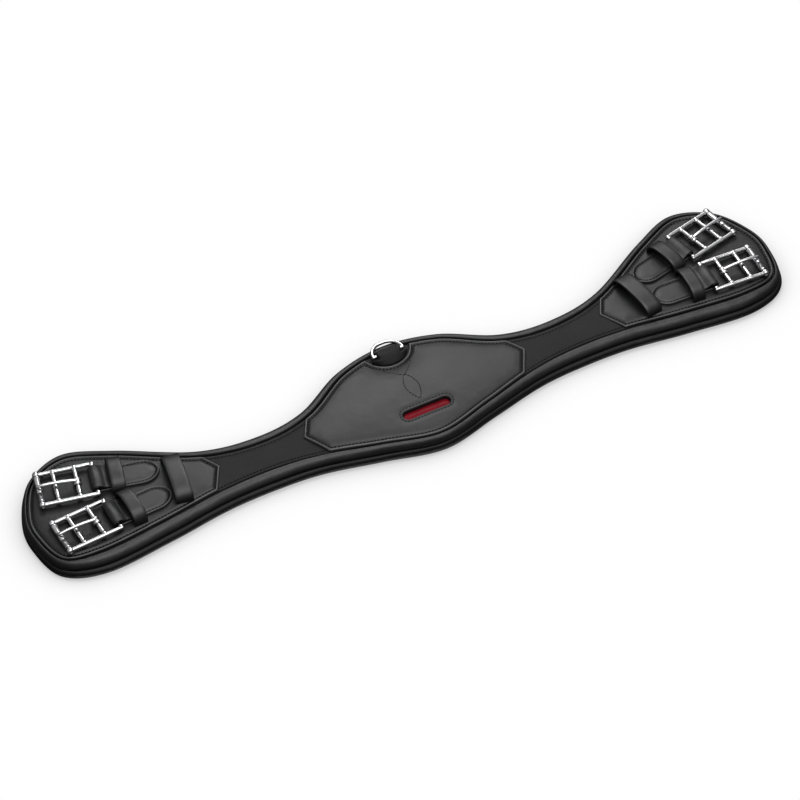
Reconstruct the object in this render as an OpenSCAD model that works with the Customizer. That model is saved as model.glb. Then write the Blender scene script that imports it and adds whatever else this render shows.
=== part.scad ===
// Anatomical dressage girth: a padded, waisted strap that lies under a horse's belly.
// +X runs along the girth, +Y is its front edge with the D-ring, and +Z is its outer face.
// The lining lies on z = 0, and the two halves are mirror images across x = 0.

/* [Body outline] */
// Half of the girth's overall length
half_length = 330; // [300:1:400]
// Half of the width across the middle
middle_half = 58; // [54:1:66]
// Where the waist is narrowest, from the middle
waist_x = 132; // [128:1:138]
// Front edge of the waist
waist_front = 20; // [18:1:24]
// Rear edge of the waist
waist_rear = 33.5; // [31:0.5:36]
// Distance from an end's tip to where it is widest
end_run = 50; // [44:1:56]
// Front edge of an end, which sweeps forward
end_front = 75; // [73:1:80]
// Rear edge of an end
end_rear = 47; // [45:1:52]

/* [Rolled edge] */
// Width of the roll across the middle
roll_middle = 8.5; // [7:0.5:10]
// Width of the roll along the waist
roll_waist = 13.3; // [12:0.1:14]
// Width of the roll along an end's front edge
roll_front = 9.5; // [8:0.5:11]
// Width of the roll round an end's tip
roll_tip = 8; // [7:0.5:9]
// Width of the roll along an end's rear edge
roll_rear = 13.5; // [12:0.5:15]

/* [Layers] */
// Height of the lining pad
lining_h = 6.5; // [5:0.1:9]
// Height of the roll's crown over the lining's face
crown_z = 15; // [14:0.1:18]
// Depth of the bed that the base layer lies in, under the crown
bed_depth = 3.2; // [2.6:0.1:4]
// Thickness of the base layer
base_t = 1.2; // [0.8:0.1:1.6]
// Thickness of the leather panels
panel_t = 2.4; // [2:0.1:3.2]
// Thickness of the lining's skin
skin_t = 1.2; // [0.8:0.1:2]
// Distance of the gel pad from the lining's outer edge
gel_inset = 7; // [5:0.5:9]
// Width of the webbing that carries the pull
webbing_w = 22; // [16:1:24]
// Thickness of the webbing
webbing_t = 1.8; // [1.2:0.1:2.4]

/* [Panels] */
// Tip of the middle panel, from the middle
middle_tip_x = 99; // [94:1:104]
// Length of an end panel, from its point to the girth's tip
end_panel_l = 161; // [157:1:165]
// Half angle of the panels' pointed ends
point_angle = 61; // [56:1:64]
// Half width of the scallop for the D-ring
scallop_half = 20; // [17:0.5:22]
// Deepest point of the scallop, from the girth's own centre line
scallop_y = 31; // [28:0.5:33]
// Length of the badge window
window_l = 41; // [34:1:50]
// Height of the badge window
window_h = 8.6; // [7:0.1:11]
// Centre of the badge window
window_y = -24; // [-30:0.5:-20]
// Thickness of the badge
badge_t = 1.5; // [1:0.1:2]

/* [Chapes and keepers] */
// Width of the chapes
chape_w = 24; // [20:0.5:25]
// Thickness of the chape leather
chape_t = 2.2; // [1.8:0.1:2.4]
// Length of a chape, from its buckle bar to its tip
chape_l = 51; // [48:1:56]
// Length of the folded part on top of a chape
fold_l = 22; // [21:0.5:23]
// Width of a keeper along the strap
keeper_w = 11.5; // [9:0.5:12]
// Distance of a keeper from the buckle bar
keeper_u = 16.5; // [16.5:0.5:19]
// Inside width of a keeper
keeper_in = 29; // [27:0.5:30]
// Inside height of a keeper over the panel
keeper_h = 9.4; // [9:0.1:11]
// Thickness of the keeper leather
keeper_t = 2; // [1.6:0.1:2.2]
// Width of the shared keeper along the girth
shared_w = 14.5; // [12:0.5:16]
// Inside width of the shared keeper
shared_in = 44; // [41:1:46]
// Inside height of the shared keeper
shared_h = 8.4; // [8:0.1:11]
// Distance from the girth's tip to the centre of the shared keeper
shared_run = 125; // [123:0.5:128]
// Centre of the shared keeper across the girth
shared_y = 2.5; // [1:0.5:4]
// How far the shared keeper is turned from straight across, in degrees
shared_turn = 9; // [5:0.5:12]

/* [Buckles] */
// Distance from the girth's tip to the front buckle bar
front_bar_run = 68; // [66:0.5:71]
// Front buckle bar, across the girth
front_bar_y = 31; // [30:0.5:33]
// How far the front buckle fans out, in degrees
front_fan = 13.5; // [12:0.5:14]
// Distance from the girth's tip to the rear buckle bar
rear_bar_run = 65; // [62:0.5:68]
// Rear buckle bar, across the girth
rear_bar_y = -8.5; // [-10:0.5:-8]
// How far the rear buckle fans out, in degrees
rear_fan = -2.5; // [-4:0.5:-2]
// Distance between the side bars' centres
buckle_w = 31.5; // [31:0.5:33]
// Distance from the chape bar to the roller's axle
buckle_l = 44; // [43:0.5:47]
// Distance from the chape bar to the tongue bar
tongue_u = 13.9; // [13:0.1:15]
// Distance from the chape bar to the middle bar
mid_u = 31; // [29:0.5:32]
// Radius of the side bars
side_r = 1.75; // [1.6:0.05:1.9]
// Radius of the cross bars
bar_r = 1.6; // [1.4:0.05:1.7]
// Radius of the roller's axle
axle_r = 1.25; // [1.1:0.05:1.4]
// Outer radius of the roller
roller_r = 2.7; // [2.5:0.05:2.9]
// Radius of the knobs at the axle's ends
knob_r = 2.9; // [2.6:0.05:3.1]
// Radius of the tongue's rod
tongue_r = 1.5; // [1.3:0.05:1.6]

/* [D-ring] */
// Distance of the ring's bar from the girth's own centre line
ring_y = 43.5; // [42:0.5:45]
// Half width of the ring, to the wire's centre
ring_half = 13; // [12:0.5:14]
// Depth of the ring, from its bar to the wire's centre
ring_depth = 11.5; // [10:0.5:13]
// Radius of the ring's wire
ring_r = 1.5; // [1.2:0.05:1.6]
// Thickness of the ring's leather loop
loop_t = 2; // [1.8:0.1:2.2]
// How far the loop's root reaches under the panel
loop_root = 10; // [8:0.5:14]

/* [Clearances] */
// Gap between the parts of the body where it flexes
flex_gap = 0.3; // [0.2:0.05:0.5]
// Gap round a piece in its pocket
pocket_gap = 0.15; // [0.1:0.05:0.3]
// Running gap of a bar in leather
leather_gap = 0.25; // [0.2:0.05:0.35]
// Running gap of metal on metal
running_gap = 0.08; // [0.05:0.01:0.1]
// Gap between pieces that rest on each other
rest_gap = 0.3; // [0.2:0.05:0.4]

/* [Hidden] */

black = [0.07, 0.07, 0.075];
soft_black = [0.1, 0.1, 0.105];
steel = [0.8, 0.8, 0.82];
steps = 5;              // samples between two points of the outline
far = 1000;             // larger than the girth
end_x = half_length - end_run;
end_tip_x = half_length - end_panel_l;
shared_x = half_length - shared_run;
front_bar_x = half_length - front_bar_run;
rear_bar_x = half_length - rear_bar_run;
bed_z = crown_z - bed_depth;
base_z = bed_z + base_t;
panel_z = base_z + panel_t;
bar_z = panel_z + bar_r + leather_gap + chape_t;
roller_z = panel_z + rest_gap + max(roller_r, knob_r);
tilt = asin((bar_z - roller_z) / buckle_l);
loop_r = ring_r + leather_gap + loop_t;
corner = ring_half - ring_depth;        // centre of the ring's round corner
loop_half = corner + sqrt(pow(ring_depth - ring_r, 2) - loop_r * loop_r) - leather_gap;
loop_start = scallop_y + scallop_half - sqrt(scallop_half * scallop_half - loop_half * loop_half) + pocket_gap;
ring_z = max(base_z + loop_r, crown_z + rest_gap + ring_r);

// Each point of the outline is [x, y, width of the roll there].
outline = [
    [0, middle_half, roll_middle + 1],
    [0.35 * waist_x, middle_half - 9, roll_middle + 1.5],
    [waist_x - 42, waist_front + 5.5, roll_waist - 1],
    [waist_x, waist_front, roll_waist],
    [waist_x + 46, waist_front + 8, roll_waist - 2.5],
    [end_x - 46, end_front - 16, roll_front],
    [end_x - 6, end_front, roll_front],
    [half_length - 22, end_front - 15, roll_tip + 0.5],
    [half_length - 4, end_front - 45, roll_tip],
    [half_length, 2, roll_tip],
    [half_length - 10, 14 - end_rear, roll_tip + 2],
    [end_x + 6, -end_rear, roll_rear],
    [end_x - 50, 5 - end_rear, roll_rear],
    [waist_x + 45, -waist_rear - 1, roll_waist],
    [waist_x, -waist_rear, roll_waist],
    [waist_x - 37, -waist_rear - 3, roll_waist - 2],
    [0.375 * waist_x, 11 - middle_half, roll_middle + 0.5],
    [0, -middle_half, roll_middle - 0.5]
];

// Mirrors a list of points to the other end, in reverse order.
function mirrored(list) = [for (i = [len(list) - 1:-1:0]) [-list[i][0], list[i][1], list[i][2]]];
function from_to(list, a, b) = [for (i = [a:b]) list[i]];
// A smooth curve through the points, with a few samples between two of them.
function between(a, b, c, d, t) = 0.5 * (2 * b + (c - a) * t + (2 * a - 5 * b + 4 * c - d) * t * t
    + (3 * b - a - 3 * c + d) * t * t * t);
function smooth(p) = let (n = len(p), q = concat(mirrored([p[1]]), p, mirrored([p[n - 2]])))
    concat([for (i = [1:n - 1]) for (k = [0:steps - 1])
        between(q[i - 1], q[i], q[i + 1], q[i + 2], k / steps)], [p[n - 1]]);

half_edge = smooth(outline);
last = len(half_edge) - 1;
front_cut = 3 * steps;      // samples that lie on the waist's cut
rear_cut = 14 * steps;
middle_front = concat(mirrored(from_to(half_edge, 1, front_cut)), from_to(half_edge, 0, front_cut));
middle_rear = concat(from_to(half_edge, rear_cut, last), mirrored(from_to(half_edge, rear_cut, last - 1)));
end_edge = from_to(half_edge, front_cut, rear_cut);
whole_edge = concat(half_edge, mirrored(from_to(half_edge, 1, last - 1)));

// Outward normal of an edge at point i. The edge runs clockwise, and its two ends look straight across.
function outward(edge, i) = i == 0 || i == len(edge) - 1 ? [0, sign(edge[i][1])]
    : let (d = edge[i + 1] - edge[i - 1], k = norm([d[0], d[1]])) [-d[1] / k, d[0] / k];
// Points of an edge moved inward by a share of the roll's width and a further distance.
function inward(edge, share, more) = [for (i = [0:len(edge) - 1]) let (p = edge[i], q = outward(edge, i),
    m = share * p[2] + more) [p[0] - q[0] * m, p[1] - q[1] * m]];
// The same edge with its ends on the cut, half the flexing gap to one side of it.
function trimmed(ring, part) = let (n = len(ring) - 1, gap = (part == "middle" ? -1 : 1) * flex_gap / 2)
    [for (i = [0:n]) i == 0 || i == n ? [sign(ring[i][0]) * (waist_x + gap), ring[i][1]] : ring[i]];
// The edges of one part of the body, as separate runs between its cuts.
function runs(part, share, more) = part == "middle"
    ? [for (e = [middle_front, middle_rear]) trimmed(inward(e, share, more), part)]
    : [trimmed(inward(end_edge, share, more), part)];
function joined(lists) = [for (l = lists) each l];

// One part of the body as a closed solid. Each profile point is [share of the roll's width, further distance,
// height], from the flat on top, out over the edge and down to the flat underneath. Point i of a ring faces
// point n - 1 - i across the girth.
module padded(part, profile) {
    rings = [for (s = profile) joined(runs(part, s[0], s[1]))];
    n = len(rings[0]);
    rows = len(profile);
    lengths = [for (r = runs(part, 0, 0)) len(r)];
    starts = [for (k = [0:len(lengths) - 1]) k == 0 ? 0 : lengths[0]];
    points = [for (r = [0:rows - 1]) for (q = rings[r]) [q[0], q[1], profile[r][2]]];
    sides = [for (r = [0:rows - 2], k = [0:len(starts) - 1], i = [starts[k]:starts[k] + lengths[k] - 2])
        let (a = r * n + i, b = a + n) each [[a + 1, a, b], [a + 1, b, b + 1]]];
    cuts = [for (k = [0:len(starts) - 1])
        let (e = starts[k] + lengths[k] - 1, s = starts[(k + 1) % len(starts)], bottom = (rows - 1) * n)
            each concat([for (r = [1:rows - 2]) [e, r * n + e, (r + 1) * n + e]],
                        [for (r = [1:rows - 2]) [s, (r + 1) * n + s, r * n + s]],
                        [[e, bottom + e, bottom + s], [e, bottom + s, s]])];
    top = [for (i = [0:n / 2 - 2]) each [[i, i + 1, n - 1 - i], [i + 1, n - 2 - i, n - 1 - i]]];
    under = [for (t = top) [for (k = [2:-1:0]) (rows - 1) * n + t[k]]];
    mirror([part == "left" ? 1 : 0, 0, 0]) polyhedron(points, concat(sides, cuts, top, under), convexity = 8);
}

// A flat layer of one part of the body.
module layer(part, share, more, low, high) {
    mirror([part == "left" ? 1 : 0, 0, 0])
        translate([0, 0, low]) linear_extrude(high - low) polygon(joined(runs(part, share, more)));
}

module lining(part) {
    h = lining_h;
    color(soft_black) padded(part, [
        [0, gel_inset, skin_t], [0, gel_inset, h], [0.16, 0, h], [0.05, 0, h * 0.84],
        [0, 0, h * 0.55], [0.04, 0, h * 0.3], [0.14, 0, h * 0.1], [0.3, 0, 0]
    ]);
}

// The strip of webbing, or with some room round it, the groove it lies in.
module webbing_strip(part, room) {
    past = room > 0 ? 1 : 0;        // how far a groove runs on through a cut
    low = waist_x * (part == "middle" ? -1 : 1) + flex_gap / 2 - past;
    high = part == "middle" ? waist_x - flex_gap / 2 + past : front_bar_x + 12 + room;
    mirror([part == "left" ? 1 : 0, 0, 0])
        translate([low, (waist_front - waist_rear - webbing_w) / 2 - room, lining_h - webbing_t - room])
            cube([high - low, webbing_w + 2 * room, webbing_t + 2 * past]);
}

module webbing(part) {
    color([0.2, 0.2, 0.2]) webbing_strip(part, 0);
}

module gel_pad(part) {
    color([0.25, 0.27, 0.3]) difference() {
        layer(part, 0, gel_inset + pocket_gap, skin_t, lining_h);
        webbing_strip(part, pocket_gap);
    }
}

module cushion(part) {
    h = crown_z - lining_h;
    color(black) padded(part, [
        [1, 0, bed_z], [1, 0, bed_z + bed_depth * 0.45], [0.93, 0, crown_z - h * 0.09], [0.78, 0, crown_z],
        [0.55, 0, crown_z - h * 0.04], [0.32, 0, crown_z - h * 0.15], [0.13, 0, crown_z - h * 0.34],
        [0.02, 0, crown_z - h * 0.58], [0, 0, crown_z - h * 0.74], [0.05, 0, crown_z - h * 0.9],
        [0.16, 0, lining_h]
    ]);
}

module base_layer(part) {
    color(black) layer(part, 1, pocket_gap, bed_z, base_z);
}

// A wedge that opens from its tip towards +X.
module wedge(tip_x, tip_y) {
    run = far / tan(point_angle);
    translate([0, 0, -1]) linear_extrude(far)
        polygon([[tip_x, tip_y], [tip_x + run, tip_y + far], [tip_x + run, tip_y - far]]);
}

module panel_blank() {
    translate([0, 0, base_z]) linear_extrude(panel_t) polygon(inward(whole_edge, 1, pocket_gap));
}

module stadium(length, width, low, high) {
    for (x = [-1, 1])
        translate([x * (length - width) / 2, 0, low]) cylinder(h = high - low, d = width, $fn = 48);
    translate([(width - length) / 2, -width / 2, low]) cube([length - width, width, high - low]);
}

module middle_panel() {
    point_y = (waist_front - waist_rear) / 2 + 2;
    room = loop_half + pocket_gap;
    color(black) difference() {
        intersection() {
            panel_blank();
            wedge(-middle_tip_x, point_y);
            mirror([1, 0, 0]) wedge(-middle_tip_x, point_y);
        }
        translate([0, scallop_y + scallop_half, base_z - 1])
            cylinder(h = panel_t + 2, r = scallop_half, $fn = 96);
        translate([0, window_y, 0]) stadium(window_l, window_h, base_z - 1, panel_z + 1);
        translate([-room, scallop_y - loop_root - pocket_gap, base_z - 1])
            cube([2 * room, 2 * loop_root, 1 + loop_t / 2 + pocket_gap]);
    }
}

module badge() {
    color([0.5, 0.05, 0.07]) translate([0, window_y, 0])
        stadium(window_l - 2 * pocket_gap, window_h - 2 * pocket_gap, base_z, base_z + badge_t);
}

// The leather tab that holds the ring: its root goes under the panel, and its fold goes round the ring's bar.
module ring_loop() {
    width = 2 * loop_half;
    color(black) difference() {
        union() {
            translate([-loop_half, ring_y, ring_z]) rotate([0, 90, 0])
                cylinder(h = width, r = loop_r, $fn = 48);
            translate([-loop_half, 0, 0]) rotate([90, 0, 90]) linear_extrude(width)
                polygon([[ring_y, base_z], [ring_y, ring_z + loop_r],
                         [ring_y - loop_r, ring_z + loop_r * 0.55],
                         [loop_start, base_z + loop_t], [loop_start, base_z]]);
            translate([-loop_half, scallop_y - loop_root, base_z])
                cube([width, loop_start + 1 - scallop_y + loop_root, loop_t / 2]);
        }
        translate([-loop_half - 1, ring_y, ring_z]) rotate([0, 90, 0])
            cylinder(h = width + 2, r = ring_r + leather_gap, $fn = 48);
    }
}

module d_ring() {
    color(steel) translate([0, ring_y, ring_z]) union() {
        translate([-ring_half, 0, 0]) rotate([0, 90, 0]) cylinder(h = 2 * ring_half, r = ring_r, $fn = 32);
        for (x = [-1, 1]) {
            translate([x * ring_half, 0, 0]) sphere(ring_r * 1.15, $fn = 32);
            translate([x * corner, 0, 0]) mirror([x < 0 ? 1 : 0, 0, 0])
                rotate_extrude(angle = 90, $fn = 64) translate([ring_depth, 0]) circle(ring_r, $fn = 32);
        }
        translate([-corner, ring_depth, 0]) rotate([0, 90, 0]) cylinder(h = 2 * corner, r = ring_r, $fn = 32);
    }
}

// Places a piece on the left or the right end, which are mirror images.
module on_side(side) {
    mirror([side == "left" ? 1 : 0, 0, 0]) children();
}

// Places a piece on the front or the rear strap: x runs outward from the buckle bar and z up from the panel.
module on_strap(row) {
    place = row == "front" ? [front_bar_x, front_bar_y, panel_z] : [rear_bar_x, rear_bar_y, panel_z];
    translate(place) rotate([0, 0, row == "front" ? front_fan : rear_fan]) children();
}

// Places a piece in the buckle's own plane, which leans down to rest its roller on the panel.
module on_buckle(row) {
    on_strap(row) translate([0, 0, bar_z - panel_z]) rotate([0, tilt, 0]) children();
}

module end_panel() {
    color(black) intersection() {
        panel_blank();
        wedge(end_tip_x, 0.5);
    }
}

module chape() {
    lift = bar_z - panel_z;
    outer = bar_r + leather_gap + chape_t;
    half = chape_w / 2;
    tip = chape_w * 0.62;
    color(black) difference() {
        intersection() {
            union() {
                translate([0, half, lift]) rotate([90, 0, 0]) cylinder(h = chape_w, r = outer, $fn = 48);
                translate([0, half, 0]) rotate([90, 0, 0]) linear_extrude(chape_w)
                    polygon([[0, 0], [-chape_l, 0], [-chape_l, chape_t], [-fold_l, chape_t],
                             [-fold_l, 2 * chape_t - 0.4], [3 - fold_l, 2 * chape_t],
                             [-outer - 4, 2 * chape_t],
                             [-outer * 0.55, lift + outer * 0.83], [0, lift + outer]]);
            }
            union() {
                translate([-chape_l + tip, -half, -1]) cube([chape_l - tip + outer + 1, chape_w, far]);
                translate([-chape_l + tip, 0, -1]) intersection() {
                    translate([tip * 0.28, -half * 0.27, 0]) cylinder(h = far, r = tip * 1.28, $fn = 96);
                    translate([tip * 0.28, half * 0.27, 0]) cylinder(h = far, r = tip * 1.28, $fn = 96);
                    translate([-tip, -half, 0]) cube([tip + 1, chape_w, far]);
                }
            }
        }
        translate([0, half + 1, lift]) rotate([90, 0, 0])
            cylinder(h = chape_w + 2, r = bar_r + leather_gap, $fn = 48);
    }
}

// Half of an arch with a round shoulder, from its foot up to its middle.
function arch(half, height, shoulder) = concat([[half, 0]], [for (k = [0:8]) let (a = k * 90 / 8)
    [half - shoulder + shoulder * cos(a), height - shoulder + shoulder * sin(a)]]);
function both_sides(side) = concat(side, [for (i = [len(side) - 1:-1:0]) [-side[i][0], side[i][1]]]);
function reversed(list) = [for (i = [len(list) - 1:-1:0]) list[i]];

// A leather bridge with round shoulders that stands on the panel.
module bridge(inside, height, width, t, shoulder) {
    outer = both_sides(arch(inside / 2 + t, height + t, shoulder));
    inner = both_sides(arch(inside / 2, height, shoulder - t));
    translate([width / 2, 0, 0]) rotate([90, 0, -90]) linear_extrude(width)
        polygon(concat(outer, reversed(inner)));
}

module keeper() {
    color(black) translate([-keeper_u, 0, 0]) bridge(keeper_in, keeper_h, keeper_w, keeper_t, 5);
}

module shared_keeper() {
    color(black) translate([shared_x, shared_y, panel_z]) rotate([0, 0, shared_turn])
        bridge(shared_in, shared_h, shared_w, keeper_t, 6.5);
}

module cross_bar(u, r) {
    translate([u, buckle_w / 2, 0]) rotate([90, 0, 0]) cylinder(h = buckle_w, r = r, $fn = 32);
}

module buckle_frame() {
    color(steel) union() {
        for (y = [-1, 1]) {
            translate([-side_r, y * buckle_w / 2, 0]) rotate([0, 90, 0])
                cylinder(h = buckle_l + side_r, r = side_r, $fn = 32);
            translate([-side_r, y * buckle_w / 2, 0]) sphere(side_r, $fn = 32);
            translate([buckle_l, y * buckle_w / 2, 0]) sphere(knob_r, $fn = 32);
        }
        cross_bar(0, bar_r);
        cross_bar(tongue_u, bar_r);
        cross_bar(mid_u, bar_r);
        cross_bar(buckle_l, axle_r);
    }
}

module buckle_roller() {
    length = buckle_w - 2 * knob_r - 2 * running_gap;
    color(steel) translate([buckle_l, length / 2, 0]) rotate([90, 0, 0]) difference() {
        cylinder(h = length, r = roller_r, $fn = 48);
        translate([0, 0, -1]) cylinder(h = length + 2, r = axle_r + running_gap, $fn = 48);
    }
}

module buckle_tongue() {
    eye_r = bar_r + running_gap + 1.3;
    start_w = 2.2;                                   // the rod's height over the bar's axis
    rise = roller_r + tongue_r + rest_gap - start_w;
    reach = buckle_l - tongue_u;
    lean = atan(rise / reach);
    length = norm([reach, rise]) * 1.07;
    color(steel) difference() {
        union() {
            translate([tongue_u, 2.2, 0]) rotate([90, 0, 0]) cylinder(h = 4.4, r = eye_r, $fn = 48);
            translate([tongue_u, 0, start_w]) rotate([0, 90 - lean, 0]) {
                cylinder(h = length, r = tongue_r, $fn = 32);
                translate([0, 0, length]) sphere(tongue_r, $fn = 32);
            }
        }
        translate([tongue_u, 4, 0]) rotate([90, 0, 0]) cylinder(h = 8, r = bar_r + running_gap, $fn = 48);
    }
}

for (part = ["left", "middle", "right"]) {
    lining(part);
    gel_pad(part);
    cushion(part);
    webbing(part);
    base_layer(part);
}
middle_panel();
badge();
ring_loop();
d_ring();
for (side = ["left", "right"]) {
    on_side(side) end_panel();
    on_side(side) shared_keeper();
    for (row = ["front", "rear"]) {
        on_side(side) on_strap(row) chape();
        on_side(side) on_strap(row) keeper();
        on_side(side) on_buckle(row) buckle_frame();
        on_side(side) on_buckle(row) buckle_roller();
        on_side(side) on_buckle(row) buckle_tongue();
    }
}
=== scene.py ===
"""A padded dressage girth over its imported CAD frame: body, panels, chapes, keepers, buckles and stitching."""

import math

import bmesh
import bpy
import numpy as np
from bpy.props import FloatProperty, FloatVectorProperty, IntProperty, PointerProperty
from mathutils import Matrix, Vector
from mathutils.geometry import delaunay_2d_cdt


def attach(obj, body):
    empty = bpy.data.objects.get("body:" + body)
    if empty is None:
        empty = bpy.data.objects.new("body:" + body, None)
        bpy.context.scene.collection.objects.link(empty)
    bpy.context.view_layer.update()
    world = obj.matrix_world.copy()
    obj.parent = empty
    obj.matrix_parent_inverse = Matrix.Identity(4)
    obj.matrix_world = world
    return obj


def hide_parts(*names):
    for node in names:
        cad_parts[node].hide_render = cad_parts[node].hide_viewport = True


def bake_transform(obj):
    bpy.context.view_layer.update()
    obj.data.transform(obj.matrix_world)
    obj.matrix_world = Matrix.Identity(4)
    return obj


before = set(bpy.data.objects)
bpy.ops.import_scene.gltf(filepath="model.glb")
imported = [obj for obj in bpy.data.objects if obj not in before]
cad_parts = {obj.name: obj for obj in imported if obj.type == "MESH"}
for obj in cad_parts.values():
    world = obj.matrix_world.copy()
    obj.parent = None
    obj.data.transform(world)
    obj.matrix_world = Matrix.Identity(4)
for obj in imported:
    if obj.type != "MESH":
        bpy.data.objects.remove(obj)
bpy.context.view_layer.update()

bl_info = {
    "name": "Dressage girth",
    "version": (1, 0, 0),
    "blender": (4, 5, 0),
    "location": "View3D > Sidebar > Girth",
    "description": "Builds the leather, stitching and hardware of a padded dressage girth",
    "category": "Add Mesh",
}

SIDES = {"left": -1, "right": 1}
ROWS = ("front", "rear")
HALF_PI = math.pi / 2
BUILDERS = ("body", "panels", "straps", "hardware", "stitching", "stage")
PIN_GAP = 0.00008  # between a pin and what turns on it
WRAP_GAP = 0.00025  # between a bar and the leather round it
REST_GAP = 0.0003  # between pieces that rest on each other
SEAM_GAP = 0.00015  # between a panel and the roll beside it
PRESSED = 0.00005  # how much leather gives where it is pressed
SUNK = 0.00080  # depth of a panel's stitches under its face
PANEL_STEP = 0.0028  # from point to point of a panel's outline
RIM_ROWS = 6  # rows of a cut leather edge that show its rim
GRAIN = "Leather grain"
# The badge window's edge: distance outward, and depth under the panel's face.
WINDOW_EDGE = ((0.0, 0.0009), (0.0003, 0.0004), (0.0009, 0.0001), (0.0017, 0.00002), (0.0022, 0.00022),
               (0.0028, 0.00022), (0.0034, 0.0))
# A knob's outline, with its drilled end: distance past the side bar's centre, and share of the knob's radius.
KNOB = ((-0.0022, 0.74), (-0.0017, 0.92), (-0.0008, 1.0), (0.0004, 1.0), (0.0013, 0.93), (0.0021, 0.76),
        (0.0024, 0.55), (0.0024, 0.36), (0.0010, 0.32))


def length(name, default, description):
    """A length setting, in metres."""
    return FloatProperty(name=name, description=description, default=default, min=-1.0, max=1.0,
                         unit="LENGTH", precision=5)


def angle(name, degrees, description):
    """An angle setting, given in degrees."""
    return FloatProperty(name=name, description=description, default=math.radians(degrees), subtype="ANGLE")


def colour(name, default, description):
    """A colour setting, in linear red, green and blue."""
    return FloatVectorProperty(name=name, description=description, default=default, min=0.0, max=1.0, size=3,
                               subtype="COLOR")


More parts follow.
